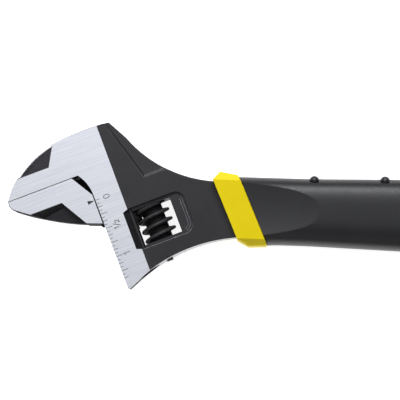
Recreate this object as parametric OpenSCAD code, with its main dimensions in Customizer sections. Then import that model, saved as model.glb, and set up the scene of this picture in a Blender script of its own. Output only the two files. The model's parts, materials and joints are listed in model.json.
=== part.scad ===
// Adjustable wrench, 250 mm (10 in) class, shown with its jaws closed.
// It lies flat: +X runs down the handle, +Z up, and the head is at the -X end.
// The head is drawn in its own frame, turned to the jaw's line of travel: a runs along the jaw
// faces towards the handle, b against the jaw's opening direction. The jaw faces meet at b = 0
// and the knurl turns about a = 0. Every piece is drawn about the tool's middle plane.

/* [Handle] */
// Length over everything, used to place the end of the handle
overall_l = 254; // [250:1:258]
// Width of the steel shank in front of the grip
shank_w = 23.2; // [22.6:0.2:23.6]
// Thickness of the shank where it enters the collar
shank_t = 10.4; // [9:0.2:12]
// Width of the tang inside the grip
tang_w = 16; // [13:0.5:17]
// Thickness of the tang
tang_t = 8; // [6:0.5:9]
// Grip width just behind the collar
grip_w = 28.3; // [27.6:0.1:30]
// How much each side of the grip widens per millimetre of length
grip_flare = 0.024; // [0.01:0.002:0.03]
// Grip thickness
grip_t = 20; // [19.4:0.2:22]
// Diameter of the hang hole
hang_d = 9; // [7:0.5:10]

/* [Head] */
// Angle of the jaw faces to the handle
head_angle = 22.5; // [20:0.5:24]
// Thickness over the ground faces
head_t = 15; // [14.6:0.1:15.6]
// Height of the ground faces above the black ones
ground_step = 0.3; // [0.2:0.05:0.5]
// Depth of the thumb pocket round the knurl
pocket_depth = 1.6; // [1:0.1:2]
// Depth of the recess in the back of the head
web_depth = 0.7; // [0.4:0.1:1.5]

/* [Jaw and knurl] */
// Gap left between the closed jaw faces
jaw_gap = 0.2; // [0.1:0.05:0.4]
// Thickness of the web that joins the jaw to its rail
web_t = 5; // [4:0.2:6]
// Radius of the jaw's round rail
rail_r = 5.3; // [5:0.05:5.4]
// Axial pitch of the knurl's single thread and of the rack
pitch = 4.1; // [4:0.05:4.2]
// Radius of the knurl's hub
hub_r = 4.65; // [4.4:0.05:4.7]
// Radius over the thread
thread_r = 7.25; // [7:0.05:7.3]
// Radius of the knurl pin
pin_r = 1.5; // [1.2:0.1:1.8]
// Wire diameter of the knurl spring
spring_wire = 0.6; // [0.4:0.05:0.7]

/* [Fits] */
// Radial clearance of the rail in its bore, and side clearance of the web
slide_fit = 0.1; // [0.05:0.01:0.15]
// Radial clearance of the knurl on its pin
pin_fit = 0.05; // [0.02:0.01:0.1]
// End clearance of the knurl in its window
end_fit = 0.2; // [0.1:0.05:0.3]

/* [Hidden] */
$fn = 96;

mid_z = grip_t / 2;
far = 80;

// Where the head's frame sits in the tool's
head_x = -overall_l / 2 + 51.25;
head_y = 21.1;

// Outline of the head, in its own frame
tip_a = -55.5;
front_a = -20.6;
border_a = -9.2;
foot = [-20.4, -52.2];
heel = [-8.6, -47.8];
relief_r = 16.7;
relief_b = -10;
relief_top_a = front_a - relief_r + sqrt(pow(relief_r, 2) - pow(relief_b, 2));
back_top = [-3.9, 16.95];
back_low = [0.8, 8];
back_centre = [50.5, 26.2];
back_r = norm(back_low - back_centre);
belly_centre = [10.4, -111.6];
belly_r = norm(heel - belly_centre);
// Where the arcs of the back and the belly run into the shank
back_corner = back_centre - back_r * [sin(head_angle), cos(head_angle)];
belly_corner = belly_centre + belly_r * [sin(15), cos(15)];
nose_centre = [-24, -21.2];
nose_r = 37.93;
nose_end_a = -26.5;
crown_start_a = -29.5;
crown_centre = [-14.5, -85];
crown_r = 102.4;

// Movable jaw
jaw_back_a = front_a - 0.25;
jaw_arc_centre = [17, 85.2];
jaw_arc_r = 114.4;
flank_b = -8.6;

// Knurl, its window and its pocket
win_a = [-7.9, 9];
win_b = [-37.3, -22];
knurl_l = win_b[1] - win_b[0] - 2 * end_fit;
thread_b = -29.85;
strip_a = -11.6;
strip_fall = 25;

// Rail, web and rack
rail_a = -10.2;
rail_top_b = -0.8;
rail_low_b = -29.2;
rack_root_a = -thread_r - 0.2;
rack_b = thread_b - pitch / 2;
rack_count = ceil((rail_top_b - rack_b) / pitch) + 1;
rack_tilt = atan(pitch / (2 * PI * 6));

// Spring in the knurl's lower end
nest_r = 3.2;
nest_depth = 2.6;
spring_r = 2.35;
spring_turns = 3;

// Collar and grip
collar_slant = 24;
collar_front_x = -35.5;
collar_back_x = -23.9;
collar_t = 19;
core_w = 20.8;
core_t = 14.6;
hang_x = overall_l / 2 - 14;
lining_r = hang_d / 2 + 1.2;
tang_end_x = hang_x - 9;
panel_low_z = 8.4;
panel_end_x = 4;
nub_r = 2.1;
nub_in = 1.05;
nub_z = 5;
nub_x = [for (i = [0:3]) 1.7 + 29.6 * i];

module at_head() translate([head_x, head_y, mid_z]) rotate(head_angle) children();
module at_handle() translate([0, 0, mid_z]) children();
function to_handle(p) = [head_x + p[0] * cos(head_angle) - p[1] * sin(head_angle),
    head_y + p[0] * sin(head_angle) + p[1] * cos(head_angle)];
module plate(t) linear_extrude(t, center = true) children();
module both_faces() for (side = [0, 1]) mirror([0, 0, side]) children();

// Things that lie along b: their own Z becomes b, and their own Y points down through the head
module along_b(a, b) translate([a, b, 0]) rotate([-90, 0, 0]) children();

// ---- Head outline -------------------------------------------------------------------------

// The nose and the crown behind it overlap, and their arcs cross nearly in line
module nose_plan() intersection() {
    translate(nose_centre) circle(nose_r, $fn = 240);
    translate([tip_a - 1, 0]) square([nose_end_a - tip_a + 1, 20]);
}

module head_rear_plan() difference() {
    intersection() {
        polygon([[crown_start_a, 0], [crown_start_a, 20], [back_top[0] - 1.6, 20], back_top,
            back_low, back_corner, belly_corner, heel, foot, [front_a, relief_b], [relief_top_a, 0]]);
        translate(crown_centre) circle(crown_r, $fn = 360);
    }
    translate(back_centre) circle(back_r, $fn = 300);
    translate(belly_centre) circle(belly_r, $fn = 300);
    intersection() {
        translate([front_a - relief_r, relief_b]) circle(relief_r, $fn = 180);
        translate([tip_a, -far]) square([far, far]);
    }
}

module head_plan() union() {
    nose_plan();
    head_rear_plan();
}

module tang_plan() polygon([[-45, 0], to_handle(back_corner), [-31, tang_w / 2 + 1],
    [-24, tang_w / 2], [tang_end_x, tang_w / 2], [tang_end_x, -tang_w / 2], [-16, -tang_w / 2],
    [-20, -tang_w / 2 - 0.8], [-28, -shank_w / 2 + 0.2], to_handle(belly_corner)]);

// Side view of the forging: full at the head, thinner along the shank, thinnest in the grip
module side_profile() rotate([90, 0, 0]) plate(2 * far) polygon([
    [-overall_l, head_t], [-65, head_t / 2 + 0.2], [-38, shank_t / 2], [-30, shank_t / 2],
    [-20, tang_t / 2], [overall_l, tang_t / 2], [overall_l, -tang_t / 2], [-20, -tang_t / 2],
    [-30, -shank_t / 2], [-38, -shank_t / 2], [-65, -head_t / 2 - 0.2], [-overall_l, -head_t]]);

// The forging before anything is cut in it
module forging() intersection() {
    union() {
        at_head() plate(head_t - 2 * ground_step) head_plan();
        at_head() plate(head_t) intersection() {
            head_plan();
            translate([border_a - far, -far]) square([far, 2 * far]);
        }
        at_handle() plate(head_t - 2 * ground_step) tang_plan();
    }
    at_handle() side_profile();
}

// ---- Cuts ---------------------------------------------------------------------------------

// A sunk dark flank: outline is its plan, its floor starts at inner, floor_z up, and falls away
// from there in the direction heading
module sunk_flank(outline, inner, heading, floor_z, fall) intersection() {
    linear_extrude(head_t) polygon(outline);
    translate([inner[0], inner[1], floor_z]) rotate(heading) rotate([0, fall, 0])
        translate([-far, -far, 0]) cube([2 * far, 2 * far, far]);
}

module fixed_flank() sunk_flank(
    [[-58, 7.95], [-34.4, 7.95], [-30.3, 15.3], [-28.3, 20], [-58, 20]],
    [-34.4, 7.95], 118, head_t / 2 - 1.6, 16);

// Its wall next to the jaw face is a slope that starts at flank_b
module movable_flank() intersection() {
    sunk_flank([[-58, -8.1], [-34.7, -8.1], [-27.4, -20.6], [-26, -30], [-58, -30]],
        [-34.4, flank_b], 242, head_t / 2 - 1.8, 16);
    translate([-far, flank_b, head_t / 2]) rotate([52, 0, 0]) translate([0, -far, 0])
        cube([2 * far, 2 * far, far]);
}

// The recess in the back of the head widens from its floor to the face and on above it
module back_web() translate([0, 0, head_t / 2 - ground_step - web_depth]) hull() {
    linear_extrude(0.01) polygon([[-4.7, 15.5], [2.5, -9.3], [16, -9.3], [16, 24], [-7.1, 24]]);
    translate([0, 0, 2 * web_depth]) linear_extrude(0.01)
        polygon([[-5.9, 15.5], [1.6, -11.7], [16, -11.7], [16, 24], [-8.3, 24]]);
}

module pocket_plan() hull() {
    translate([-8.8, -38.7]) square([1, 18.1]);
    translate([11, -24.4]) circle(3.8, $fn = 48);
    translate([10.3, -34.2]) circle(4.5, $fn = 48);
}

// The strip between the ground face and the window falls away towards the window
module strip() intersection() {
    linear_extrude(head_t)
        polygon([[-8.8, -20.6], [-11.5, -21.5], [-11.5, -37.7], [-8.8, -38.7], [-7, -38.7], [-7, -20.6]]);
    translate([strip_a, 0, head_t / 2 - ground_step]) rotate([0, strip_fall, 0])
        translate([0, -far, 0]) cube([(win_a[0] - strip_a + 0.1) / cos(strip_fall), far, far]);
}

module pocket() union() {
    translate([0, 0, head_t / 2 - ground_step - pocket_depth]) linear_extrude(head_t) pocket_plan();
    strip();
}

module window() plate(2 * head_t) translate([win_a[0], win_b[0]])
    square([win_a[1] - win_a[0], win_b[1] - win_b[0]]);

module rail_channel() union() {
    along_b(rail_a, -far) cylinder(r = rail_r + slide_fit, h = far + 0.2);
    translate([-25, -far, -web_t / 2 - slide_fit])
        cube([25 + rail_a, far - 0.4, web_t + 2 * slide_fit]);
}

module pin_hole() along_b(0, -far) cylinder(r = pin_r, h = far - 16);

// ---- Pieces -------------------------------------------------------------------------------

module body() color([0.21, 0.21, 0.23]) difference() {
    forging();
    at_head() {
        both_faces() {
            fixed_flank();
            back_web();
            pocket();
        }
        window();
        rail_channel();
        pin_hole();
    }
}

module jaw_plan() intersection() {
    polygon([[tip_a + 0.1, -jaw_gap], [-26.6, -jaw_gap], [jaw_back_a, -9.7], [jaw_back_a, -30],
        [-50, -30], [-54.9, -4], [tip_a, -2]]);
    translate(jaw_arc_centre) circle(jaw_arc_r, $fn = 480);
}

// One tooth space of the rack, tilted to the thread's lead and wider at its mouth
module tooth_space(low) translate([rack_root_a, 0, 0]) rotate([-rack_tilt, 0, 0]) plate(14)
    polygon([[0, 0.98], [2.6, 1.3], [2.6, low - 0.32], [0, low]]);

module movable_jaw() color([0.80, 0.81, 0.83]) at_head() difference() {
    union() {
        difference() {
            plate(head_t) jaw_plan();
            both_faces() movable_flank();
        }
        plate(web_t) polygon([[-27, -0.9], [rail_a, -0.9], [rail_a, -23.5], [-22, -23.5]]);
        along_b(rail_a, rail_low_b) cylinder(r = rail_r, h = rail_top_b - rail_low_b);
    }
    // The space at the rail's end runs out through it
    translate([0, rack_b + pitch, 0]) tooth_space(-2);
    for (i = [2:rack_count]) translate([0, rack_b + i * pitch, 0]) tooth_space(-0.98);
}

// Half of the thread's section, as [distance from its middle along the axis, radius]
thread_half = [[1.1, hub_r], [0.96, hub_r + 0.75], [0.84, thread_r - 0.75], [0.64, thread_r - 0.25],
    [0.33, thread_r - 0.05], [0, thread_r]];
function thread_point(s, r) = r * [cos(360 * s / pitch), sin(360 * s / pitch)];
hub_steps = 10;
thread_foot = thread_half[0][0];

// Cut square across its axis, a one-start thread is a cam, which turns once in each pitch
module thread_cam() polygon(concat(
    [for (p = thread_half) thread_point(-p[0], p[1])],
    [for (i = [len(thread_half) - 2:-1:0]) thread_point(thread_half[i][0], thread_half[i][1])],
    [for (i = [1:hub_steps - 1])
        thread_point(thread_foot + (pitch - 2 * thread_foot) * i / hub_steps, hub_r)]));

module knurl() color([0.12, 0.12, 0.13]) at_head() along_b(0, win_b[0] + end_fit) difference() {
    rotate(-360 * (thread_b - win_b[0] - end_fit) / pitch)
        linear_extrude(knurl_l, twist = -360 * knurl_l / pitch, slices = 108, $fn = 12) thread_cam();
    translate([0, 0, -1]) cylinder(r = pin_r + pin_fit, h = knurl_l + 2);
    translate([0, 0, -1]) cylinder(r = nest_r, h = nest_depth + 1);
}

// The pin stands a little out of the lower edge, crosses the window and ends in the far wall
module knurl_pin() color([0.3, 0.3, 0.32]) at_head() along_b(0, -46.8) difference() {
    cylinder(r = pin_r, h = 30.3);
    translate([-2, -0.35, -1]) cube([4, 0.7, 1.8]);
}

// A coil with closed ends: ring by ring round the pin, eight sides to the wire
spring_h = nest_depth + end_fit - 0.1 - spring_wire;
spring_sides = 8;
spring_rings = 20 * spring_turns;
function spring_rise(turn) = spring_h * max(0, min(1, (turn - 0.4) / (spring_turns - 0.8)));
function spring_point(i, j) = let (
    turn = i * spring_turns / spring_rings,
    side = 360 * (j + 0.5) / spring_sides,
    r = spring_r + spring_wire / 2 * cos(side))
    [r * cos(360 * turn), r * sin(360 * turn), spring_rise(turn) + spring_wire / 2 * sin(side)];

module knurl_spring() color([0.6, 0.6, 0.62]) at_head()
    along_b(0, win_b[0] + 0.05 + spring_wire / 2) tube(
        [for (i = [0:spring_rings], j = [0:spring_sides - 1]) spring_point(i, j)], spring_sides);

// A closed tube from rings of points, each ring with the given number of sides
module tube(points, sides) {
    rings = len(points) / sides;
    walls = [for (i = [0:rings - 2], j = [0:sides - 1]) let (k = (j + 1) % sides)
        each [[i * sides + j, i * sides + k, (i + 1) * sides + k],
            [i * sides + j, (i + 1) * sides + k, (i + 1) * sides + j]]];
    first = [for (j = [sides - 1:-1:0]) j];
    last = [for (j = [0:sides - 1]) (rings - 1) * sides + j];
    polyhedron(points, concat([first, last], walls));
}

// ---- Handle -------------------------------------------------------------------------------

// Everything behind a slanted line across the handle, from its crossing of the centreline
module behind(x) translate([x, 0, 0]) rotate(collar_slant) translate([0, -far, -far])
    cube([3 * far, 2 * far, 2 * far]);

module collar_block() intersection() {
    plate(collar_t) polygon([[-41, 12], [-38, 15.9], [-29.4, 14.3], [-15, -14.4], [-17.2, -14.8],
        [-25, -15.3], [-31, -12]]);
    rotate([90, 0, 90]) plate(3 * far) polygon([[12, 9.5], [16.5, 4.5], [16.5, -4.5], [12, -9.5],
        [-12.4, -9.5], [-16.5, -5], [-16.5, 5], [-12.4, 9.5]]);
    difference() {
        behind(collar_front_x);
        behind(collar_back_x);
    }
}

module core_sleeve() union() {
    intersection() {
        plate(core_t) translate([-34, -core_w / 2]) square([hang_x + 34, core_w]);
        behind(collar_back_x - 1);
    }
    translate([hang_x, 0, 0]) plate(core_t) circle(core_w / 2);
    translate([hang_x, 0, 0]) plate(grip_t - 0.4) circle(lining_r);
}

module grip_core() color([0.93, 0.81, 0.12]) difference() {
    at_handle() union() {
        collar_block();
        core_sleeve();
    }
    forging();
    at_handle() translate([hang_x, 0, 0]) plate(2 * head_t) circle(hang_d / 2);
}

// The cushion is a loft of squarish ovals along the handle, rounded off at its end
grip_start_x = -34;
bend_x = hang_x - 1;
end_run = overall_l / 2 - bend_x;
section_points = 40;
squareness = 3.2;
round_end = 2.6;
function oval(c) = sign(c) * pow(abs(c), 2 / squareness);
function flare_below(x) = x < -11 ? 1.3 * pow((-11 - x) / 13, 2) : 0;
function grip_half_w(x) = grip_w / 2 + grip_flare * max(0, x);
function grip_ring(x, shrink) = [for (j = [0:section_points - 1])
    let (t = -360 * j / section_points, y = oval(cos(t)))
    [x, (grip_half_w(x) + (y < 0 ? flare_below(x) : 0)) * y * shrink,
        grip_t / 2 * oval(sin(t)) * pow(shrink, 0.5)]];

straight_x = concat([for (x = [grip_start_x:3:-10]) x], [for (x = [0:14:98]) x], [bend_x]);
end_turns = [for (i = [1:7]) 12 * i];
function end_x(turn) = bend_x + end_run * pow(sin(turn) / sin(84), 2 / round_end);
function end_shrink(turn) = pow(cos(turn), 2 / round_end);

module grip_blank() tube(concat(
    [for (x = straight_x) each grip_ring(x, 1)],
    [for (turn = end_turns) each grip_ring(end_x(turn), end_shrink(turn))]), section_points);

// The flat thumb panel falls from the crown of the grip down to the collar
module thumb_panel() translate([panel_end_x, 0, grip_t / 2])
    rotate([0, -atan((grip_t / 2 - panel_low_z) / (panel_end_x - collar_back_x)), 0])
    translate([-far, -far / 2, 0]) cube([far, far, far]);

module grip_cushion() color([0.16, 0.16, 0.17]) at_handle() union() {
    difference() {
        intersection() {
            grip_blank();
            behind(collar_back_x);
        }
        both_faces() thumb_panel();
        core_sleeve();
        translate([hang_x, 0, 0]) plate(2 * grip_t) circle(lining_r);
    }
    for (x = nub_x) both_faces() translate([x, grip_half_w(x) - nub_in, nub_z])
        sphere(nub_r, $fn = 32);
}

body();
movable_jaw();
knurl();
knurl_pin();
knurl_spring();
grip_core();
grip_cushion();
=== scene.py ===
# Looks of the adjustable wrench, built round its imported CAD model.
# Places on the head are millimetres in its own turned frame: a runs along the jaw faces towards
# the handle, b from the movable jaw to the fixed one, z up from the tool's middle plane.
# Places on the handle are millimetres in the tool's own x and y, with z up from the same plane.
import json
import math
from contextlib import contextmanager

import bmesh
import bpy
from mathutils import Matrix, Vector


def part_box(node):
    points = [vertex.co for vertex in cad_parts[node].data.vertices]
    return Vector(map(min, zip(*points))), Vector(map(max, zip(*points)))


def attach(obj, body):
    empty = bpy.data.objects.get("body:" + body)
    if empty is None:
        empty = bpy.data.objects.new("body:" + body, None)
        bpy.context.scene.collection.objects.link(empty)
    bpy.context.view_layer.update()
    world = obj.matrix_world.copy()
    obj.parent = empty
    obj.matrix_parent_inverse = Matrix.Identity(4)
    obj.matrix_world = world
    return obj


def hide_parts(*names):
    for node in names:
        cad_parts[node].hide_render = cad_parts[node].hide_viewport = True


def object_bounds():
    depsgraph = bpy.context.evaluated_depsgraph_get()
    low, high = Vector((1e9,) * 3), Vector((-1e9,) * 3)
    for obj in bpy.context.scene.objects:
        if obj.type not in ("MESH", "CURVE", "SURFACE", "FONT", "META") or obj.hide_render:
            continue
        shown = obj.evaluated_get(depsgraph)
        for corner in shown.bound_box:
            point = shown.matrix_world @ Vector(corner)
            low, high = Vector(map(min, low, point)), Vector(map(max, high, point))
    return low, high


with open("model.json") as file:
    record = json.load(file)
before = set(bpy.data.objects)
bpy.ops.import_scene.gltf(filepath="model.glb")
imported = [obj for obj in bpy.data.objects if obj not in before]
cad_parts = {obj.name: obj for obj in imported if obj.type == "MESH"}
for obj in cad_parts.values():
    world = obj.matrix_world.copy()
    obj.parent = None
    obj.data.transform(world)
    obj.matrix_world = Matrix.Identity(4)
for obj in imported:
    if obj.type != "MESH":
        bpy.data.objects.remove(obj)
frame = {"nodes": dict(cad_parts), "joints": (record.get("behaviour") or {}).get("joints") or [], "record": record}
CAD_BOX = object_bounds()
MM = 0.001

# ---- Where things are ---------------------------------------------------------------------

JOINTS = {joint["name"]: joint for joint in frame["joints"]}
MOUNTS = {mount["name"]: mount for mount in frame["record"]["mounts"]}
UP = Vector((0, 0, 1))
ACROSS = -Vector(JOINTS["jaw_slide"]["axis"]).normalized()
ALONG = Vector((ACROSS.y, -ACROSS.x, 0))
HEAD_TURN = math.atan2(ALONG.y, ALONG.x)
KNURL_MIDDLE = Vector(JOINTS["knurl_spin"]["pos_m"])
JAW_MIDDLE = Vector(MOUNTS["jaws"]["pos_m"])
HANG_HOLE = Vector(MOUNTS["hang_hole"]["pos_m"])
HANG_R = MOUNTS["hang_hole"]["dims"]["r_mm"]
HEAD_ORIGIN = KNURL_MIDDLE + ACROSS * (JAW_MIDDLE - KNURL_MIDDLE).dot(ACROSS)
MID_Z = HEAD_ORIGIN.z


def at_head(a, b, z=0.0):
    """The point at a, b and z in the head's frame."""
    return HEAD_ORIGIN + (ALONG * a + ACROSS * b + Vector((0, 0, z))) * MM


def in_head(point):
    """A point's a, b and z in the head's frame."""
    p = (point - HEAD_ORIGIN) / MM
    return p.dot(ALONG), p.dot(ACROSS), p.z


def at_tool(x, y, z=0.0):
    """The point at x and y in the tool's frame, and z over its middle plane."""
    return Vector((x, y, MID_Z / MM + z)) * MM


HEAD_TOP = (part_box("movable_jaw")[1].z - MID_Z) / MM
# The bright ground border runs from the head's front edge to here
FRONT_A = -20.6
BORDER_A = -9.2

# ---- Mesh helpers -------------------------------------------------------------------------

# Corners this close are one, and faces that meet at less than this angle are one flat face
MERGE_GAP = 0.003
FLAT_ANGLE = math.radians(0.6)
# Corners this near the plane of a cut lie on it
PLANE_GAP = 0.0005
# A rounding takes up at most this share of the edges that run into it
ROUND_SHARE = 0.42


@contextmanager
def mesh_of(obj):
    """Opens an object's mesh for editing and writes it back at the end."""
    bm = bmesh.new()
    bm.from_mesh(obj.data)
    yield bm
    bm.to_mesh(obj.data)
    bm.free()


def new_object(name, corners, faces, materials=()):
    mesh = bpy.data.meshes.new(name)
    mesh.from_pydata([tuple(c) for c in corners], [], faces)
    mesh.validate()
    obj = bpy.data.objects.new(name, mesh)
    bpy.context.scene.collection.objects.link(obj)
    for material in materials:
        mesh.materials.append(material)
    return obj


def new_solid(name, corners, faces, materials=()):
    """A closed new object, with all its faces turned outwards."""
    obj = new_object(name, corners, faces, materials)
    with mesh_of(obj) as bm:
        bmesh.ops.recalc_face_normals(bm, faces=bm.faces)
    return obj


def settle(obj):
    """Turns an object's modifiers into mesh."""
    graph = bpy.context.evaluated_depsgraph_get()
    mesh = bpy.data.meshes.new_from_object(obj.evaluated_get(graph), depsgraph=graph)
    obj.modifiers.clear()
    obj.data = mesh
    mesh.name = obj.name


def carve(obj, cutter, operation="DIFFERENCE"):
    """Cuts the cutter out of an object, or joins it on. Both have the same list of materials."""
    modifier = obj.modifiers.new("carve", "BOOLEAN")
    modifier.object = cutter
    modifier.operation = operation
    modifier.solver = "MANIFOLD"
    settle(obj)
    bpy.data.objects.remove(cutter)


def clean_copy(node, name):
    """A copy of a CAD node's mesh with its doubled corners merged and its flat faces whole."""
    bm = bmesh.new()
    bm.from_mesh(frame["nodes"][node].data)
    bmesh.ops.remove_doubles(bm, verts=bm.verts, dist=MERGE_GAP * MM)
    bmesh.ops.dissolve_limit(bm, angle_limit=FLAT_ANGLE, verts=bm.verts, edges=bm.edges)
    bm.verts.index_update()
    corners = [v.co.copy() for v in bm.verts]
    faces = [[v.index for v in f.verts] for f in bm.faces]
    bm.free()
    return new_object(name, corners, faces)


def in_line(edge, other, corner, bend=math.radians(35)):
    """True if two edges run on through the corner that they share with hardly a bend."""
    arms = [e.other_vert(corner).co - corner.co for e in (edge, other)]
    return arms[0].angle(arms[1]) > math.pi - bend


def even_runs(radii):
    """Gives all edges of a run that bends gently the smallest radius found along it."""
    leader = {edge: edge for edge in radii}

    def lead(edge):
        while leader[edge] is not edge:
            edge = leader[edge]
        return edge

    for edge in radii:
        for corner in edge.verts:
            for other in corner.link_edges:
                if other is not edge and other in radii and in_line(edge, other, corner):
                    leader[lead(edge)] = lead(other)
    smallest = {}
    for edge, radius in radii.items():
        smallest[lead(edge)] = min(radius, smallest.get(lead(edge), radius))
    return {edge: smallest[lead(edge)] for edge in radii}


def round_edges(obj, radius_at, segments=3, sharp=28):
    """Rounds the outer edges that are sharper than sharp degrees. radius_at gives an edge's
    radius, in mm, from its middle."""
    with mesh_of(obj) as bm:
        layer = bm.edges.layers.float.new("bevel_weight_edge")
        radii = {}
        for edge in bm.edges:
            if len(edge.link_faces) != 2 or not edge.is_convex:
                continue
            if edge.calc_face_angle(0) < math.radians(sharp):
                continue
            room = [e.calc_length() / MM * ROUND_SHARE for v in edge.verts for e in v.link_edges
                    if e is not edge and not in_line(edge, e, v)]
            middle = (edge.verts[0].co + edge.verts[1].co) / 2
            radii[edge] = min([radius_at(middle)] + room)
        radii = even_runs(radii)
        widest = max(radii.values())
        for edge, radius in radii.items():
            edge[layer] = radius / widest
    modifier = obj.modifiers.new("round", "BEVEL")
    modifier.limit_method = "WEIGHT"
    modifier.width = widest * MM
    modifier.segments = segments
    modifier.use_clamp_overlap = False
    modifier.miter_outer = "MITER_ARC"
    settle(obj)


def cut_flat(obj, point, normal, clear=True):
    """Takes off what is beyond a plane and closes the cut. Only divides faces if not clear."""
    with mesh_of(obj) as bm:
        geometry = bm.verts[:] + bm.edges[:] + bm.faces[:]
        cut = bmesh.ops.bisect_plane(bm, geom=geometry, plane_co=point, plane_no=normal,
                                     clear_outer=clear, dist=PLANE_GAP * MM)
        if clear:
            rim = [e for e in cut["geom_cut"] if isinstance(e, bmesh.types.BMEdge)]
            bmesh.ops.contextual_create(bm, geom=rim)


def shade(obj, sharp=32, patch=None):
    """Smooth shading that keeps flat faces flat, and keeps edges sharp that bend by more than
    sharp degrees or outline the patch, where patch is true."""
    obj.data.shade_smooth()
    obj.data.set_sharp_from_angle(angle=math.radians(sharp))
    if patch:
        with mesh_of(obj) as bm:
            for edge in bm.edges:
                if len({patch(face.calc_center_median()) for face in edge.link_faces}) > 1:
                    edge.smooth = False
    modifier = obj.modifiers.new("flat_faces", "WEIGHTED_NORMAL")
    modifier.mode = "FACE_AREA"
    modifier.weight = 80
    modifier.keep_sharp = True
    settle(obj)


def paint(obj, materials, rule):
    """Gives each face the material whose name rule returns, from its centre and normal."""
    names = list(materials)
    for name in names:
        obj.data.materials.append(materials[name])
    for face in obj.data.polygons:
        face.material_index = names.index(rule(face.center, face.normal))


def tube(name, points, radius, sides, materials):
    """A round closed tube along points, with its section kept upright across the path."""
    corners, faces = [], []
    count = len(points)
    for i, point in enumerate(points):
        heading = (points[min(i + 1, count - 1)] - points[max(i - 1, 0)]).normalized()
        out = ACROSS.cross(heading).normalized()
        up = heading.cross(out).normalized()
        for j in range(sides):
            turn = 2 * math.pi * j / sides
            corners.append(point + (out * math.cos(turn) + up * math.sin(turn)) * radius)
    for i in range(count - 1):
        for j in range(sides):
            k = (j + 1) % sides
            faces.append([i * sides + j, i * sides + k, (i + 1) * sides + k, (i + 1) * sides + j])
    faces.append(list(range(sides))[::-1])
    faces.append([(count - 1) * sides + j for j in range(sides)])
    return new_solid(name, corners, faces, materials)


def lathe(name, centre, axis, profile, sides, materials):
    """A closed solid turned about axis. profile lists (height, radius) from end to end."""
    side = axis.orthogonal().normalized()
    other = axis.cross(side)
    corners = [centre + axis * profile[0][0] * MM, centre + axis * profile[-1][0] * MM]
    for height, radius in profile:
        for j in range(sides):
            turn = 2 * math.pi * j / sides
            out = side * math.cos(turn) + other * math.sin(turn)
            corners.append(centre + (axis * height + out * radius) * MM)
    faces = []
    last = 2 + (len(profile) - 1) * sides
    for j in range(sides):
        k = (j + 1) % sides
        faces += [[0, 2 + k, 2 + j], [1, last + j, last + k]]
        for row in range(2, last, sides):
            faces.append([row + j, row + k, row + sides + k, row + sides + j])
    return new_solid(name, corners, faces, materials)


def block(name, low, high, materials):
    """A box from one corner to the opposite one, each (x, y, z) in the tool's frame."""
    corners = [at_tool(x, y, z) for x in (low[0], high[0]) for y in (low[1], high[1])
               for z in (low[2], high[2])]
    faces = [[0, 1, 3, 2], [4, 6, 7, 5], [0, 4, 5, 1], [2, 3, 7, 6], [0, 2, 6, 4], [1, 5, 7, 3]]
    return new_solid(name, corners, faces, materials)


# ---- Materials ----------------------------------------------------------------------------

# Which of a Mix node's sockets are in use when it mixes colours
MIX_SHARE, MIX_LOW, MIX_HIGH, MIX_RESULT = 0, 6, 7, 2


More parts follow.
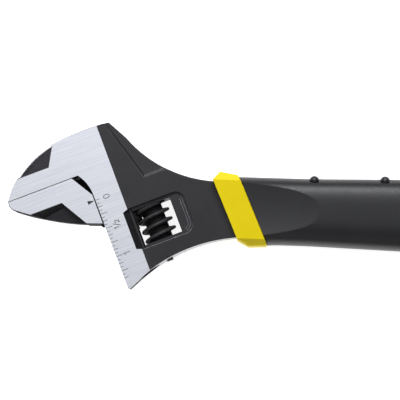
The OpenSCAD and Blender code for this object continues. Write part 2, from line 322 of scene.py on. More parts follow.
class Look:
    """A material under construction: its shader, and short ways to add nodes to it."""

    def __init__(self, name, **settings):
        self.material = bpy.data.materials.new(name)
        self.material.use_nodes = True
        self.nodes = self.material.node_tree.nodes
        self.links = self.material.node_tree.links
        self.shader = self.nodes["Principled BSDF"]
        self.relief = None
        for socket, value in settings.items():
            self.shader.inputs[socket.replace("_", " ")].default_value = value
        self.place = self.add("ShaderNodeTexCoord").outputs["Object"]

    def add(self, kind, **values):
        node = self.nodes.new(kind)
        for name, value in values.items():
            setattr(node, name, value)
        return node

    def noise(self, size, detail=3, rough=0.5, stretch=1, turn=0, shift=(0, 0, 0)):
        """Noise with features of about size mm, drawn out stretch times along the turned X."""
        mapping = self.add("ShaderNodeMapping", vector_type="TEXTURE")
        mapping.inputs["Location"].default_value = shift
        mapping.inputs["Rotation"].default_value = (0, 0, turn)
        mapping.inputs["Scale"].default_value = (stretch * size * MM, size * MM, size * MM)
        self.links.new(self.place, mapping.inputs["Vector"])
        noise = self.add("ShaderNodeTexNoise")
        noise.inputs["Scale"].default_value = 1.0
        noise.inputs["Detail"].default_value = detail
        noise.inputs["Roughness"].default_value = rough
        self.links.new(mapping.outputs["Vector"], noise.inputs["Vector"])
        return noise.outputs["Fac"]

    def cells(self, size):
        """Rounded cells about size mm across, for a moulded grain."""
        mapping = self.add("ShaderNodeMapping", vector_type="TEXTURE")
        mapping.inputs["Scale"].default_value = (size * MM,) * 3
        self.links.new(self.place, mapping.inputs["Vector"])
        cells = self.add("ShaderNodeTexVoronoi", feature="SMOOTH_F1")
        cells.inputs["Scale"].default_value = 1.0
        self.links.new(mapping.outputs["Vector"], cells.inputs["Vector"])
        return cells.outputs["Distance"]

    def distance(self, middle, axis):
        """How far a place is from the line through middle along axis."""
        away = self.add("ShaderNodeVectorMath", operation="SUBTRACT")
        self.links.new(self.place, away.inputs[0])
        away.inputs[1].default_value = middle
        across = self.add("ShaderNodeVectorMath", operation="CROSS_PRODUCT")
        self.links.new(away.outputs["Vector"], across.inputs[0])
        across.inputs[1].default_value = axis
        length = self.add("ShaderNodeVectorMath", operation="LENGTH")
        self.links.new(across.outputs["Vector"], length.inputs[0])
        return length.outputs["Value"]

    def mix(self, share, low, high, blend="MIX"):
        """Puts the colour high on low by share. All may be outputs of other nodes."""
        mix = self.add("ShaderNodeMix", data_type="RGBA", blend_type=blend)
        for socket, value in ((MIX_SHARE, share), (MIX_LOW, low), (MIX_HIGH, high)):
            if isinstance(value, bpy.types.NodeSocket):
                self.links.new(value, mix.inputs[socket])
            else:
                mix.inputs[socket].default_value = value if socket == MIX_SHARE else (*value, 1)
        return mix.outputs[MIX_RESULT]

    def ramp(self, source, low, high, start=0.3, end=0.7):
        """low to high, colours or numbers, as source goes from start to end."""
        ramp = self.add("ShaderNodeMapRange")
        ramp.inputs["From Min"].default_value = start
        ramp.inputs["From Max"].default_value = end
        self.links.new(source, ramp.inputs["Value"])
        if isinstance(low, tuple):
            return self.mix(ramp.outputs["Result"], low, high)
        ramp.inputs["To Min"].default_value = low
        ramp.inputs["To Max"].default_value = high
        return ramp.outputs["Result"]

    def set(self, socket, source):
        self.links.new(source, self.shader.inputs[socket])

    def vary(self, socket, low, high, size, detail=3):
        """Lets a socket of the shader wander from low to high in patches of about size mm."""
        self.set(socket, self.ramp(self.noise(size, detail), low, high))

    def bump(self, source, height, strength=0.5):
        """Adds relief of height mm on top of what is there."""
        bump = self.add("ShaderNodeBump")
        bump.inputs["Strength"].default_value = strength
        bump.inputs["Distance"].default_value = height * MM
        self.links.new(source, bump.inputs["Height"])
        if self.relief:
            self.links.new(self.relief, bump.inputs["Normal"])
        self.relief = bump.outputs["Normal"]
        self.set("Normal", self.relief)


def black_forging():
    """Satin black finish over forged steel: faint orange peel and fine grain."""
    look = Look("black_forging", Specular_IOR_Level=0.5)
    look.vary("Base Color", (0.008, 0.0078, 0.0095), (0.013, 0.0127, 0.015), 7, 5)
    look.vary("Roughness", 0.40, 0.52, 1.5, 4)
    look.bump(look.noise(1.1), 0.03)
    look.bump(look.noise(0.25, 2), 0.012, 0.6)
    return look.material


def ground_steel():
    """Bright steel ground along the jaws: fine streaks in colour, sheen and relief."""
    look = Look("ground_steel", Metallic=1.0)
    streaks = look.noise(0.22, 4, 0.65, stretch=70, turn=HEAD_TURN)
    broad = look.noise(1.6, stretch=25, turn=HEAD_TURN, shift=(0.3, 0.21, 0))
    fine_tone = look.ramp(streaks, (0.66, 0.675, 0.72), (0.86, 0.87, 0.91))
    broad_tone = look.ramp(broad, (0.94, 0.94, 0.945), (1.0, 1.0, 1.0))
    look.set("Base Color", look.mix(1.0, fine_tone, broad_tone, "MULTIPLY"))
    look.set("Roughness", look.ramp(streaks, 0.44, 0.34))
    look.bump(streaks, 0.006)
    return look.material


def grey_wall():
    """The linished steel of the edges: duller than the faces, with coarser streaks."""
    look = Look("grey_wall", Metallic=1.0)
    streaks = look.noise(0.5, 3, 0.6, stretch=16, turn=HEAD_TURN)
    look.set("Base Color", look.ramp(streaks, (0.42, 0.42, 0.43), (0.60, 0.60, 0.61)))
    look.set("Roughness", look.ramp(streaks, 0.5, 0.4))
    look.bump(streaks, 0.01)
    return look.material


def etched_mark():
    """The floor of the engraved marks, darkened."""
    look = Look("etched_mark", Metallic=0.6)
    look.vary("Base Color", (0.10, 0.10, 0.11), (0.17, 0.17, 0.18), 0.3, 2)
    look.vary("Roughness", 0.5, 0.7, 0.2, 2)
    return look.material


def blasted_floor():
    """The black finish in the sunk flanks: matt and a little greyer, from blasting."""
    look = Look("blasted_floor", Specular_IOR_Level=0.3)
    look.vary("Base Color", (0.021, 0.0205, 0.025), (0.031, 0.030, 0.035), 4, 5)
    look.vary("Roughness", 0.55, 0.68, 1.2)
    look.bump(look.noise(0.4), 0.03, 0.6)
    return look.material


def painted_shade_black():
    """Painted shade: the black finish made darker and duller in recesses and on edges that lie in shadow."""
    look = Look("painted_shade_black", Specular_IOR_Level=0.18)
    look.vary("Base Color", (0.005, 0.005, 0.0055), (0.011, 0.011, 0.012), 2.5, 4)
    look.vary("Roughness", 0.6, 0.8, 1.0)
    look.bump(look.noise(0.5), 0.03, 0.6)
    return look.material


def painted_highlight_edge():
    """Painted highlight: a grey steel colour on the pocket's rim where it faces the key light, and in the scoop's
    grooves.
    """
    look = Look("painted_highlight_edge", Metallic=0.3)
    look.vary("Base Color", (0.18, 0.18, 0.19), (0.42, 0.42, 0.44), 1.8, 4)
    look.vary("Roughness", 0.4, 0.6, 0.6)
    look.bump(look.noise(0.3, 2), 0.01)
    return look.material


def black_knurl():
    """Blackened steel: matt and darker at the root of the thread as painted shade, lighter grey along its crest as
    a painted highlight.
    """
    look = Look("black_knurl", Specular_IOR_Level=0.35)
    highlight_from, highlight_to = 5.4 * MM, 6.6 * MM
    # Painted shade in the thread's root and painted highlight along its crest, by distance from the axis
    crest = look.ramp(look.distance(KNURL_MIDDLE, ACROSS), 0.0, 1.0, highlight_from, highlight_to)
    painted_root_shade = look.ramp(look.noise(2), (0.001, 0.001, 0.001), (0.003, 0.003, 0.003))
    painted_crest_highlight = look.ramp(look.noise(1.2, 4), (0.02, 0.02, 0.022), (0.05, 0.049, 0.053))
    look.set("Base Color", look.mix(crest, painted_root_shade, painted_crest_highlight))
    look.set("Roughness", look.ramp(crest, 0.75, 0.5, 0.0, 1.0))
    look.bump(look.noise(0.5), 0.04, 0.7)
    return look.material


def dark_steel():
    """Steel gone dark, for the pin."""
    look = Look("dark_steel", Metallic=0.9)
    look.vary("Base Color", (0.09, 0.09, 0.095), (0.15, 0.15, 0.155), 0.8)
    look.vary("Roughness", 0.35, 0.5, 0.5)
    look.bump(look.noise(0.15, 2), 0.005)
    return look.material


def spring_steel():
    """Bright drawn wire."""
    look = Look("spring_steel", Metallic=1.0)
    look.vary("Base Color", (0.42, 0.41, 0.40), (0.60, 0.59, 0.58), 0.5)
    look.vary("Roughness", 0.25, 0.35, 0.3, 2)
    look.bump(look.noise(0.1, 2), 0.003)
    return look.material


def yellow_plastic():
    """Hard moulded plastic with a faint spark-eroded grain."""
    look = Look("yellow_plastic", Specular_IOR_Level=0.15)
    look.vary("Base Color", (0.84, 0.66, 0.001), (0.88, 0.70, 0.002), 9)
    look.vary("Roughness", 0.40, 0.52, 0.8)
    look.bump(look.noise(0.35), 0.012, 0.6)
    return look.material


def black_cushion():
    """Soft moulded rubber: fine matt grain with a slightly cooler sheen."""
    look = Look("black_cushion", Specular_IOR_Level=0.54, Sheen_Weight=0.05, Sheen_Roughness=0.4)
    look.vary("Base Color", (0.004, 0.004, 0.005), (0.007, 0.007, 0.008), 12, 4)
    look.vary("Roughness", 0.38, 0.46, 1.0, 4)
    look.bump(look.cells(0.45), 0.03)
    look.bump(look.noise(0.2, 2), 0.01)
    return look.material


def pale_floor():
    """A studio floor that glows a little, so that it comes out white as in the photograph."""
    look = Look("pale_floor", Emission_Color=(1, 1, 1, 1), Emission_Strength=0.85)
    look.vary("Base Color", (0.78, 0.78, 0.785), (0.82, 0.82, 0.825), 60, 4)
    look.vary("Roughness", 0.6, 0.75, 8)
    return look.material


HEAD_MATERIALS = {
    "black": black_forging(),
    "ground": ground_steel(),
    "wall": grey_wall(),
    "etched": etched_mark(),
    "blasted": blasted_floor(),
    # Painted shade, for recesses and edges in shadow
    "deep": painted_shade_black(),
    # Painted highlight, for the pocket's rim and the scoop's grooves
    "worn": painted_highlight_edge(),
}

# ---- Engraved marks -----------------------------------------------------------------------

# How far a cutter stands out of the face that it cuts, and how deep it cuts
CUT_PROUD = 0.4
MARK_DEPTH = 0.12
# The scale's ticks, from the one marked 0, and its numbers: where their middle is and their height
TICK_W = 0.22
STROKE_W = 0.3
INCH = 25.4
TICK_STEP = INCH / 16
TICK_COUNT = 23
ZERO_B = -12.4
NUMBER_A = -15.6
NUMBER_H = 2.9
# Ticks start just clear of the head's rounded front edge. How far in they end goes by how many
# sixteenths apart their kind are
TICK_START = 0.12
TICK_LENGTHS = {4: 3.1, 2: 2.1, 1: 1.4}
ZERO_LENGTH = 1.9
POINTER_BASE_A = -23.9
POINTER_TIP_A = -21.0
POINTER_HALF_W = 0.85
# A ribbon's corner is mitred to at most its width over this
MITRE_LIMIT = 0.4


def arc(centre, radii, start, end, steps=14):
    """Points on an ellipse from one angle to another, in degrees."""
    turns = [math.radians(start + (end - start) * i / steps) for i in range(steps + 1)]
    return [(centre[0] + radii[0] * math.cos(t), centre[1] + radii[1] * math.sin(t)) for t in turns]


# Each character's stroke, 1 high and centred, with x to its right and y up, and if it is closed
STROKES = {
    "0": (arc((0, 0), (0.27, 0.45), 0, 345, 23), True),
    "1": ([(-0.18, 0.26), (0.06, 0.45), (0.06, -0.45)], False),
    "2": (arc((0, 0.2), (0.26, 0.25), 165, -35) + [(-0.27, -0.45), (0.29, -0.45)], False),
    "/": ([(-0.25, -0.5), (0.25, 0.5)], False),
}
# The number at a tick, as its characters with x and y of the middle and size, all in heights
NUMBERS = {
    0: [("0", 0, 0, 1.0)],
    8: [("1", -0.42, 0.16, 0.68), ("/", 0.0, 0, 1.0), ("2", 0.44, -0.16, 0.68)],
    16: [("1", 0, 0, 1.0)],
}


def solid_ribbon(points, width, depth, closed, foot):
    """Corners and faces of a bar that follows points, each (x, y), and is depth deep below 0.
    At its bottom it is foot times as wide as at 0, and it widens on in line above 0."""
    count = len(points)
    top_share = 1 + (1 - foot) * CUT_PROUD / depth
    corners, faces = [], []
    for i, point in enumerate(points):
        arms = []
        if i or closed:
            arms.append((Vector(point) - Vector(points[i - 1])).normalized())
        if i < count - 1 or closed:
            arms.append((Vector(points[(i + 1) % count]) - Vector(point)).normalized())
        along = sum(arms, Vector((0, 0))).normalized()
        side = Vector((-along.y, along.x)) * (width / 2 / max(MITRE_LIMIT, along.dot(arms[0])))
        for sign in (1, -1):
            for level, share in ((CUT_PROUD, top_share), (-depth, foot)):
                edge = Vector(point) + side * sign * share
                corners.append((edge.x, edge.y, level))
    for i in range(count if closed else count - 1):
        j = (i + 1) % count
        for p, q in ((0, 2), (2, 3), (3, 1), (1, 0)):
            faces.append([4 * i + p, 4 * j + p, 4 * j + q, 4 * i + q])
    if not closed:
        last = 4 * (count - 1)
        faces += [[0, 1, 3, 2], [last, last + 2, last + 3, last + 1]]
    return corners, faces


def head_cutter(name, corners, faces, material):
    """A cutter for the head. Its cut shows the one of the head's materials that is named."""
    obj = new_solid(name, corners, faces, HEAD_MATERIALS.values())
    for face in obj.data.polygons:
        face.material_index = list(HEAD_MATERIALS).index(material)
    return obj


def marks_cutter(name, outlines, side, material, level=HEAD_TOP, foot=1.0):
    """Bars that sink marks into the face at level, on the upper side, 1, or the lower, -1.
    A foot under 1 makes grooves with sloped sides."""
    corners, faces = [], []
    for points, width, closed in outlines:
        bar, bar_faces = solid_ribbon(points, width, MARK_DEPTH, closed, foot)
        first = len(corners)
        corners += [at_head(x, y, side * (level + z)) for x, y, z in bar]
        faces += [[first + i for i in (f if side > 0 else f[::-1])] for f in bar_faces]
    return head_cutter(name, corners, faces, material)


def pointer_cutter(side):
    """The filled arrowhead on the movable jaw that reads against the scale."""
    plan = [(POINTER_BASE_A, ZERO_B + POINTER_HALF_W), (POINTER_TIP_A, ZERO_B),
            (POINTER_BASE_A, ZERO_B - POINTER_HALF_W)]
    levels = (HEAD_TOP + CUT_PROUD, HEAD_TOP - MARK_DEPTH)
    corners = [at_head(a, b, side * z) for z in levels for a, b in plan]
    faces = [[0, 1, 2], [5, 4, 3], [0, 3, 4, 1], [1, 4, 5, 2], [2, 5, 3, 0]]
    return head_cutter("pointer_cutter", corners, faces, "black")


def tick_length(tick):
    """How far a tick, numbered from the scale's 0, runs in from the head's front edge."""
    if tick == 0:
        return ZERO_LENGTH
    return next(length for apart, length in TICK_LENGTHS.items() if tick % apart == 0)


def scale_outlines(side):
    """The inch scale's ticks and numerals, which read towards the fixed jaw from either side."""
    outlines = []
    for tick in range(TICK_COUNT):
        b = ZERO_B - TICK_STEP * tick
        ends = [(FRONT_A + TICK_START, b), (FRONT_A + tick_length(tick), b)]
        outlines.append((ends, TICK_W, False))
    for tick, characters in NUMBERS.items():
        b = ZERO_B - TICK_STEP * tick
        for character, x, y, size in characters:
            stroke, closed = STROKES[character]
            points = [(NUMBER_A - NUMBER_H * (y + size * v), b + side * NUMBER_H * (x + size * u))
                      for u, v in stroke]
            outlines.append((points, STROKE_W, closed))
    return outlines


# ---- Body and movable jaw -----------------------------------------------------------------

# How level a face lies, as its normal's z: at least this on a ground face, on a sunk floor and
# on the slope down to it, and at most the last on a wall
LEVEL_GROUND = 0.97
LEVEL_FLOOR = 0.93
LEVEL_SLOPE = 0.8
LEVEL_WALL = 0.6
# How far below a ground face its rounded edges still look ground
EDGE_DEPTH = 0.12
# Margins for what lies on a ground face, inside the ground border and on the pocket's rim
ON_GROUND = 0.01
BORDER_MARGIN = 0.1
RIM_DEPTH = 0.5

# How round edges are: crisp ones by the ground faces, those towards the head's back, the pin's
# hole, the pocket's rim and its inside, the jaw's sunk flank, and the rest of the forging
CRISP_R = 0.14
BACK_R = 0.4
PIN_HOLE_R = 0.12
RIM_R = 0.85
POCKET_R = 0.3
FLANK_R = 0.3
FORGED_R = 0.55

# The jaw faces run from the tip to here, and the movable jaw's lies beyond this b
JAW_FACE_END_A = -27
JAW_FACE_B = -1
# What bounds the sunk flanks: the tip's side of this a, beyond these b, and above this level
FIXED_FLANK_A = -28
FIXED_FLANK_B = 8
MOVABLE_FLANK_B = -8
FLANK_LOW_Z = 3
# The head's back and its rounder edges start here
BACK_B = 4
# The head's front faces are nearer the tip than this. Behind the jaws they show the slit that
# the web runs in, painted in shade, and below it the bare front edge
FRONT_NEAR_A = -20
SLIT_B = (-12, 1)
FRONT_B = (-40, -12)
# The belly's bare edge starts here, in the foot and in the shank
BELLY_B = -40
BELLY_A = 18
PIN_HOLE_HALF = 3
PIN_HOLE_B = -44

# The pocket round the knurl's window, and the slanted strip on the window's front side
POCKET_FLOOR = 5.6
POCKET_A = (-12, 16)
POCKET_B = (-40, -19)
STRIP_A = (-12, -7.5)
STRIP_B = (-39, -20)
# Where the pocket's rim gets its painted highlight
HIGHLIGHT_RIM_A = (-8.5, 16)
HIGHLIGHT_RIM_B = -25
HIGHLIGHT_RIM_Z = POCKET_FLOOR + 0.2
HIGHLIGHT_RIM_LEVEL = (0.15, 0.99)
# How far the strip's faces are turned to the handle, away from the key light, for their painted shade, and the
# rim's to the fixed jaw, towards the key light, for its painted highlight
STRIP_TURN = 0.3
HIGHLIGHT_RIM_TURN = 0.15
# The scoop's grooves, which are lined with the painted highlight
GROOVE_W = 0.2
GROOVE_FOOT = 0.1
GROOVE_INSETS = (1.0, 2.0)
# The pocket's two round corners behind the window: middle and radius
SCOOP_ROUNDS = [((11, -24.4), 3.8), ((10.3, -34.2), 4.5)]


def within(value, limits):
    return limits[0] < value < limits[1]


def on_ground(point):
    return abs(in_head(point)[2]) > HEAD_TOP - ON_GROUND


def body_radius(middle):
    """How round the forging is at an edge: crisp where it is ground, softer where it is forged."""
    a, b, z = in_head(middle)
    if a < BORDER_A + BORDER_MARGIN:
        return BACK_R if b > BACK_B else CRISP_R
    if abs(a) < PIN_HOLE_HALF and b < PIN_HOLE_B and abs(z) < PIN_HOLE_HALF:
        return PIN_HOLE_R
    if within(a, POCKET_A) and within(b, POCKET_B):
        return RIM_R if abs(z) > HEAD_TOP - RIM_DEPTH else POCKET_R
    return FORGED_R


def body_zone(centre, normal):
    """Which of the head's materials a face of the body shows."""
    a, b, z = in_head(centre)
    level = abs(normal.z)
    ground_level = LEVEL_GROUND if b > BACK_B else LEVEL_WALL
    in_border = a < BORDER_A + BORDER_MARGIN and abs(z) > HEAD_TOP - EDGE_DEPTH
    if in_border and level > ground_level:
        return "ground"
    if a < FIXED_FLANK_A and b > FIXED_FLANK_B and abs(z) > FLANK_LOW_Z and level > LEVEL_SLOPE:
        return "blasted" if level > LEVEL_FLOOR else "ground"
    # Painted shade on the strip's faces that turn towards the handle, away from the key light
    if within(a, STRIP_A) and within(b, STRIP_B) and normal.dot(ALONG) > STRIP_TURN:
        return "deep"
    # Painted highlight on the pocket's rim where it turns towards the fixed jaw and the key light
    on_rim = abs(z) > HIGHLIGHT_RIM_Z and within(level, HIGHLIGHT_RIM_LEVEL)
    if on_rim and within(a, HIGHLIGHT_RIM_A) and b < HIGHLIGHT_RIM_B and normal.dot(ACROSS) > HIGHLIGHT_RIM_TURN:
        return "worn"
    if level >= LEVEL_WALL:
        return "black"
    if (b < BELLY_B or a > BELLY_A) and normal.dot(ACROSS) < 0:
        return "wall"
    on_jaw_face = a < JAW_FACE_END_A and b < SLIT_B[1]
    if a < FRONT_NEAR_A and (within(b, FRONT_B) or on_jaw_face):
        return "wall"
    # Painted shade in the slit behind the jaws
    return "deep" if a < FRONT_NEAR_A and within(b, SLIT_B) else "black"


def scoop_outlines():
    """Rows of shallow tool marks that follow the pocket's rounded end."""
    outlines = []
    (upper, upper_r), (lower, lower_r) = SCOOP_ROUNDS
    for inset in GROOVE_INSETS:
        top = arc(upper, (upper_r - inset,) * 2, 20, 0)
        bottom = arc(lower, (lower_r - inset,) * 2, 0, -80)
        outlines.append((top + bottom, GROOVE_W, False))
    return outlines


def make_body():
    body = clean_copy("body", "forged_body")
    round_edges(body, body_radius)
    # Divides the faces where the jaw faces end, so that the fixed jaw's face is painted shade where it runs into
    # the slit
    cut_flat(body, at_head(JAW_FACE_END_A, 0), ALONG, clear=False)
    paint(body, HEAD_MATERIALS, body_zone)
    for side in (1, -1):
        carve(body, marks_cutter("scale_cutter", scale_outlines(side), side, "etched"))
        # The scoop's grooves are real tool marks, lined with the painted highlight
        carve(body, marks_cutter("groove_cutter", scoop_outlines(), side, "worn", POCKET_FLOOR,
                                 GROOVE_FOOT))
    shade(body, patch=on_ground)
    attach(body, "frame_body")
    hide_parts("body")


def jaw_radius(middle):
    """How round the movable jaw is at an edge: softer on its flank than on its ground faces."""
    a, b, z = in_head(middle)
    return FLANK_R if a < JAW_FACE_END_A and b < JAW_FACE_B else CRISP_R


def jaw_zone(centre, normal):
    """Which of the head's materials a face of the movable jaw shows."""
    a, b, z = in_head(centre)
    level = abs(normal.z)
    if abs(z) > HEAD_TOP - EDGE_DEPTH and level > LEVEL_GROUND:
        return "ground"
    if a < JAW_FACE_END_A and b > JAW_FACE_B:
        return "wall"
    if a < JAW_FACE_END_A and b < MOVABLE_FLANK_B and abs(z) > FLANK_LOW_Z and level > LEVEL_FLOOR:
        return "blasted"
    # Painted shade on the web, rail and sides below the jaw's face
    return "deep" if b < JAW_FACE_B else "black"


def make_jaw():
    jaw = clean_copy("movable_jaw", "sliding_jaw")
    round_edges(jaw, jaw_radius)
    paint(jaw, HEAD_MATERIALS, jaw_zone)
    for side in (1, -1):
        carve(jaw, pointer_cutter(side))
    shade(jaw, patch=on_ground)
    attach(jaw, "jaw_body")
    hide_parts("movable_jaw")


# ---- Knurl, pin and spring ----------------------------------------------------------------
# The knurl's lengths and heights are millimetres along its axis, from its middle.

PITCH = 2 * math.pi / frame["record"]["behaviour"]["couplings"][0]["ratio"] / MM
HUB_R = 4.65
THREAD_R = 7.25
# Radius of the thread at distances along the axis from the middle of its ridge
RIDGE = [(0.0, THREAD_R), (0.3, THREAD_R - 0.05), (0.5, THREAD_R - 0.2), (0.66, THREAD_R - 0.45),
         (0.76, THREAD_R - 0.8), (0.9, HUB_R + 0.6), (0.98, HUB_R + 0.2), (1.15, HUB_R)]
# Where a ridge crosses the side towards the handle
RIDGE_B = -29.85
KNURL_MIDDLE_B = in_head(KNURL_MIDDLE)[1]
KNURL_HALF = 7.45
# The thread's ends are turned down over this length
CHAMFER = 0.55
CHAMFER_SLOPE = 1.3
# The bore for the pin, and the wider nest for the spring in the knurl's lower end
BORE_R = 1.55
NEST_R = 3.2
NEST_DEPTH = 2.6
KNURL_SIDES = 144
KNURL_ROWS = 190

PIN_EDGE_R = 0.12
# The spring's coil has a flat part of a turn at each end and a small gap beyond it
WINDOW_END_B = -37.3
KNURL_END_FIT = 0.2
WIRE = 0.6
WIRE_SIDES = 12
COIL_R = 2.35
COIL_TURNS = 3
COIL_FLAT = 0.4
COIL_STEPS = 48
COIL_FIT = 0.05


def off_axis(turn):
    """The direction square to the knurl's axis that is an angle round from the handle's side."""
    return ALONG * math.cos(turn) - UP * math.sin(turn)


def ridge_r(gap):
    """The thread's radius at a distance along the axis from the middle of its ridge."""
    for (gap_0, r_0), (gap_1, r_1) in zip(RIDGE, RIDGE[1:]):
        if gap <= gap_1:
            return r_0 + (r_1 - r_0) * (gap - gap_0) / (gap_1 - gap_0)
    return HUB_R


def knurl_r(height, turn):
    """The knurl's outer radius at a height, at an angle round its axis."""
    ridge = RIDGE_B - KNURL_MIDDLE_B + PITCH * turn / (2 * math.pi)
    gap = abs((height - ridge + PITCH / 2) % PITCH - PITCH / 2)
    to_end = KNURL_HALF - abs(height)
    return min(ridge_r(gap), THREAD_R - CHAMFER_SLOPE * max(0.0, CHAMFER - to_end))


def make_knurl():
    heights = [-KNURL_HALF + 2 * KNURL_HALF * i / KNURL_ROWS for i in range(KNURL_ROWS + 1)]
    bore = [(KNURL_HALF, BORE_R), (-KNURL_HALF + NEST_DEPTH, BORE_R),
            (-KNURL_HALF + NEST_DEPTH, NEST_R), (-KNURL_HALF, NEST_R)]
    corners, faces = [], []
    for j in range(KNURL_SIDES):
        turn = 2 * math.pi * j / KNURL_SIDES
        section = [(height, knurl_r(height, turn)) for height in heights] + bore
        corners += [KNURL_MIDDLE + (ACROSS * y + off_axis(turn) * r) * MM for y, r in section]
    count = len(heights) + len(bore)
    for j in range(KNURL_SIDES):
        k = (j + 1) % KNURL_SIDES
        for i in range(count):
            n = (i + 1) % count
            faces.append([j * count + i, j * count + n, k * count + n, k * count + i])
    knurl = new_solid("worm_knurl", corners, faces, [black_knurl()])
    shade(knurl, 50)
    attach(knurl, "knurl_body")
    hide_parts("knurl")


def make_pin():
    pin = clean_copy("knurl_pin", "slotted_pin")
    round_edges(pin, lambda middle: PIN_EDGE_R, segments=2)
    pin.data.materials.append(dark_steel())
    shade(pin)
    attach(pin, "frame_body")
    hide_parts("knurl_pin")


def make_spring():
    """A coil from the window's end to the floor of the knurl's nest, with flat end turns."""
    base = WINDOW_END_B + COIL_FIT + WIRE / 2
    rise = NEST_DEPTH + KNURL_END_FIT - 2 * COIL_FIT - WIRE
    points = []
    for i in range(COIL_STEPS * COIL_TURNS + 1):
        turn = i / COIL_STEPS
        up = rise * max(0, min(1, (turn - COIL_FLAT) / (COIL_TURNS - 2 * COIL_FLAT)))
        points.append(at_head(0, base + up) + off_axis(2 * math.pi * turn) * COIL_R * MM)
    spring = tube("knurl_coil", points, WIRE / 2 * MM, WIRE_SIDES, [spring_steel()])
    shade(spring, 50)
    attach(spring, "frame_body")
    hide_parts("knurl_spring")


# ---- Handle -------------------------------------------------------------------------------

# Collar, sleeve and lining of the core
COLLAR_SLANT = math.radians(24)
COLLAR_BACK_X = -23.9
COLLAR_EDGE_R = 0.45
HIDDEN_EDGE_R = 0.3
CORE_W = 20.8
CORE_T = 14.6
LINING_R = HANG_R + 1.2
HOLE_SIDES = 64
# Half the length of the hole's cutter, more than half the handle's thickness
HOLE_HALF = 12

# The cushion's cross-section is a squarish oval, wider in front on its belly side. A seam parts
# it from the collar
SEAM = 0.2
GRIP_HALF_W = 14.15
GRIP_FLARE = 0.024
GRIP_HALF_T = 10.0
SQUARENESS = 3.2
FRONT_FLARE = 1.3
FRONT_FLARE_X = -11
FRONT_FLARE_RUN = 13
FRONT_EDGE_R = 0.35
# From BEND_X on, the cushion's end is rounded off in steps of so many degrees
RING_SIDES = 112
RING_STEP = 1.5
GRIP_START_X = -34
GRIP_END_X = CAD_BOX[1].x / MM
BEND_X = HANG_HOLE.x / MM - 1
BEND_STEP = 3
BEND_STEPS = 28
ROUND_END = 2.6

# The thumb panel slopes from the grip's top, at its end, to this height at the collar, and is
# dished round its middle
PANEL_LOW_Z = 8.4
PANEL_END_X = 4.0
PANEL_DISH = 0.7
PANEL_MIDDLE = (-28.0, 0.5)
PANEL_HALF_W = 11.3
# How far its cutter stands over the grip, and how near the panel a face of it lies
PANEL_SPARE = 6
ON_PANEL = 0.06

# Nubs, each a ball in a shallow dish, on a line that is tilted up or down from the side
NUB_R = 2.1
NUB_IN = 1.05
NUB_Z = 5.0
NUB_TILT = math.radians(30)
NUB_X = [1.7 + 29.6 * i for i in range(4)]
NUB_SIDES = 32
DISH_R = 3.0
DISH_DEPTH = 0.3


def oval(c):
    return math.copysign(abs(c) ** (2 / SQUARENESS), c)


def grip_half_w(x):
    return GRIP_HALF_W + GRIP_FLARE * max(0, x)


def grip_ring(x, shrink):
    """The corners of one cross-section of the cushion, shrunk towards its end."""
    ring = []
    for j in range(RING_SIDES):
        turn = 2 * math.pi * (j + 0.5) / RING_SIDES
        across = oval(math.cos(turn))
        half_w = grip_half_w(x)
        if x < FRONT_FLARE_X and across < 0:
            half_w += FRONT_FLARE * ((FRONT_FLARE_X - x) / FRONT_FLARE_RUN) ** 2
        height = GRIP_HALF_T * oval(math.sin(turn)) * shrink ** 0.5
        ring.append(at_tool(x, half_w * across * shrink, height))
    return ring


def grip_sections():
    """Where the cushion's cross-sections are along x, and how far each is shrunk."""
    count = int((BEND_X - GRIP_START_X) / RING_STEP) + 1
    straight = [GRIP_START_X + RING_STEP * i for i in range(count)]
    sections = [(x, 1.0) for x in straight if x < BEND_X - RING_STEP / 5] + [(BEND_X, 1.0)]
    full_reach = math.sin(math.radians(BEND_STEP * BEND_STEPS))
    for i in range(1, BEND_STEPS + 1):
        turn = math.radians(BEND_STEP * i)
        reach = (math.sin(turn) / full_reach) ** (2 / ROUND_END)
        sections.append((BEND_X + (GRIP_END_X - BEND_X) * reach, math.cos(turn) ** (2 / ROUND_END)))
    return sections


def panel_z(x, y):
    """Height of the thumb panel over the middle plane: a slope to the collar, a little dished."""
    fall = (GRIP_HALF_T - PANEL_LOW_Z) * (PANEL_END_X - x) / (PANEL_END_X - COLLAR_BACK_X)
    along = max(0.0, (x - PANEL_MIDDLE[0]) / (PANEL_END_X - PANEL_MIDDLE[0]))
    across = (y - PANEL_MIDDLE[1]) / PANEL_HALF_W
    return GRIP_HALF_T - fall - PANEL_DISH * (1 - along ** 2 - across ** 2)


def panel_cutter(side, materials):
    """A block whose one face is the thumb panel, on the upper side, 1, or the lower one, -1."""
    start_x, start_y, rows, columns = PANEL_END_X + 2, -15.5, 44, 32
    plan = [(start_x - i, start_y + j) for i in range(rows) for j in range(columns)]
    corners = [at_tool(x, y, side * panel_z(x, y)) for x, y in plan]
    corners += [at_tool(x, y, side * (GRIP_HALF_T + PANEL_SPARE)) for x, y in plan]
    faces = []
    for i in range(rows - 1):
        for j in range(columns - 1):
            first = i * columns + j
            quad = [first, first + columns, first + columns + 1, first + 1]
            faces += [quad, [len(plan) + k for k in quad[::-1]]]
    last_row = (rows - 1) * columns
    rim = list(range(columns)) + [i * columns + columns - 1 for i in range(1, rows)]
    rim += [last_row + j for j in range(columns - 2, -1, -1)]
    rim += [i * columns for i in range(rows - 2, 0, -1)]
    for p, q in zip(rim, rim[1:] + rim[:1]):
        faces.append([p, q, len(plan) + q, len(plan) + p])
    return new_solid("panel_cutter", corners, faces, materials)


def on_panel(point):
    x, y, z = point / MM
    return abs(abs(z - MID_Z / MM) - panel_z(x, y)) < ON_PANEL


def cushion_radius(middle):
    """Only the cushion's front edge, at the collar, is rounded. The rest is round by its shape."""
    return FRONT_EDGE_R if middle.x / MM < FRONT_FLARE_X - 1 else 0.0


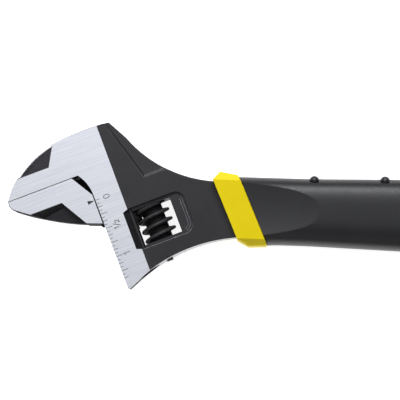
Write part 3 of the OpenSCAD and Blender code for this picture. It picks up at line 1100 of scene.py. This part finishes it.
def carve_nubs(cushion, skin):
    """Sets the nubs along the grip's one edge, above and below its middle plane."""
    dish = [(DISH_DEPTH * (r / DISH_R) ** 2, r) for r in (0.02, 0.6, 1.2, 1.8, 2.4, DISH_R)]
    above_grip = (DISH_DEPTH * 4, DISH_R + 0.4)
    turns = [math.radians(-80 + 10 * i) for i in range(17)]
    ball = [(NUB_R * math.sin(t), NUB_R * math.cos(t)) for t in turns]
    for x in NUB_X:
        for side in (1, -1):
            centre = at_tool(x, grip_half_w(x) - NUB_IN, side * NUB_Z)
            out = Vector((0, math.cos(NUB_TILT), side * math.sin(NUB_TILT)))
            carve(cushion, lathe("dish_cutter", centre, out, dish + [above_grip], NUB_SIDES, skin))
            carve(cushion, lathe("nub", centre, out, ball, NUB_SIDES, skin), "UNION")


def make_cushion():
    sections = grip_sections()
    corners = [corner for x, shrink in sections for corner in grip_ring(x, shrink)]
    faces = []
    for i in range(len(sections) - 1):
        row, after = i * RING_SIDES, (i + 1) * RING_SIDES
        for j in range(RING_SIDES):
            k = (j + 1) % RING_SIDES
            faces.append([row + j, after + j, after + k, row + k])
    faces.append(list(range(RING_SIDES)))
    faces.append(list(range(len(corners) - RING_SIDES, len(corners)))[::-1])
    skin = [black_cushion()]
    cushion = new_solid("cushion_grip", corners, faces, skin)
    forwards = Vector((-math.cos(COLLAR_SLANT), -math.sin(COLLAR_SLANT), 0))
    cut_flat(cushion, at_tool(COLLAR_BACK_X + SEAM, 0), forwards)
    round_edges(cushion, cushion_radius, sharp=40)
    for side in (1, -1):
        carve(cushion, panel_cutter(side, skin))
    sleeve_start = (GRIP_START_X - 6, -CORE_W / 2, -CORE_T / 2)
    sleeve_end = (HANG_HOLE.x / MM, CORE_W / 2, CORE_T / 2)
    carve(cushion, block("sleeve_cutter", sleeve_start, sleeve_end, skin))
    hole = [(-HOLE_HALF, LINING_R), (HOLE_HALF, LINING_R)]
    carve(cushion, lathe("hole_cutter", HANG_HOLE, UP, hole, HOLE_SIDES, skin))
    carve_nubs(cushion, skin)
    shade(cushion, 24, on_panel)
    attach(cushion, "frame_body")
    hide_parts("grip_cushion")


def core_radius(middle):
    """The collar's outer corners are rounder than the edges that the cushion hides."""
    return COLLAR_EDGE_R if middle.x < 0 else HIDDEN_EDGE_R


def make_core():
    core = clean_copy("grip_core", "collar_core")
    round_edges(core, core_radius)
    core.data.materials.append(yellow_plastic())
    shade(core)
    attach(core, "frame_body")
    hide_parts("grip_core")


make_body()
make_jaw()
make_knurl()
make_pin()
make_spring()
make_cushion()
make_core()

# ---- Floor, light and camera --------------------------------------------------------------
# Lengths of the floor and the lights are metres. The lights' places are from the tool's middle.

FLOOR_HALF = 2.0
FLOOR_CELLS = 8
# Name, place, width and height, and power in watts
LIGHTS = [
    ("overhead", (-0.05, 0.15, 1.1), (1.3, 0.7), 2.15),
    ("key", (-0.1, 0.75, 0.85), (1.0, 0.3), 11.5),
    ("fill", (0, -0.8, 0.7), (1.4, 0.8), 1.5),
]
LIGHT_TINT = (0.945, 0.955, 1.0)
WORLD_STRENGTH = 0.12
MIDDLE = (CAD_BOX[0] + CAD_BOX[1]) / 2

# The camera hangs high over the handle's front, a little to its belly side, and looks across at
# the shank behind the head. Its lengths are millimetres from the spot on the floor below MIDDLE.
CAMERA_PLACE = (-21.4, -51.1, 650.7)
CAMERA_AIM = (-46.0, 3.2, 17.5)
CAMERA_ROLL = math.radians(2.0)
VIEW_W = 167.7
SENSOR_W = 36


def make_floor():
    marks = [-FLOOR_HALF + 2 * FLOOR_HALF * i / FLOOR_CELLS for i in range(FLOOR_CELLS + 1)]
    corners = [(x, y, 0) for y in marks for x in marks]
    faces = []
    for j in range(FLOOR_CELLS):
        for i in range(FLOOR_CELLS):
            first = j * len(marks) + i
            faces.append([first, first + 1, first + len(marks) + 1, first + len(marks)])
    floor = new_object("floor", corners, faces, [pale_floor()])


def soft_light(name, place, aim, size, power):
    """A rectangular lamp at place that faces aim and doesn't show in the picture."""
    data = bpy.data.lights.new(name, "AREA")
    data.shape = "RECTANGLE"
    data.size, data.size_y = size
    data.energy = power
    data.color = LIGHT_TINT
    light = bpy.data.objects.new(name, data)
    light.location = place
    light.rotation_mode = "QUATERNION"
    light.rotation_quaternion = (aim - place).to_track_quat("-Z", "Y")
    light.visible_camera = False
    bpy.context.scene.collection.objects.link(light)


def make_light():
    for name, place, size, power in LIGHTS:
        soft_light(name, MIDDLE + Vector(place), MIDDLE, size, power)
    world = bpy.data.worlds.new("studio")
    world.use_nodes = True
    world.node_tree.nodes["Background"].inputs["Color"].default_value = (1, 1, 1, 1)
    world.node_tree.nodes["Background"].inputs["Strength"].default_value = WORLD_STRENGTH
    bpy.context.scene.world = world


def make_camera():
    base = Vector((MIDDLE.x, MIDDLE.y, 0))
    place = base + Vector(CAMERA_PLACE) * MM
    aim = base + Vector(CAMERA_AIM) * MM
    back = (place - aim).normalized()
    side = Vector((-math.sin(CAMERA_ROLL), math.cos(CAMERA_ROLL), 0)).cross(back).normalized()
    up = back.cross(side)
    data = bpy.data.cameras.new("camera")
    data.sensor_width = SENSOR_W
    data.lens = SENSOR_W * (place - aim).length / (VIEW_W * MM)
    data.clip_start, data.clip_end = 0.05, 20
    camera = bpy.data.objects.new("camera", data)
    camera.location = place
    camera.rotation_mode = "QUATERNION"
    camera.rotation_quaternion = Matrix((side, up, back)).transposed().to_quaternion()
    bpy.context.scene.collection.objects.link(camera)
    bpy.context.scene.camera = camera


make_floor()
make_light()
make_camera()
bpy.context.scene.view_settings.view_transform = "Standard"
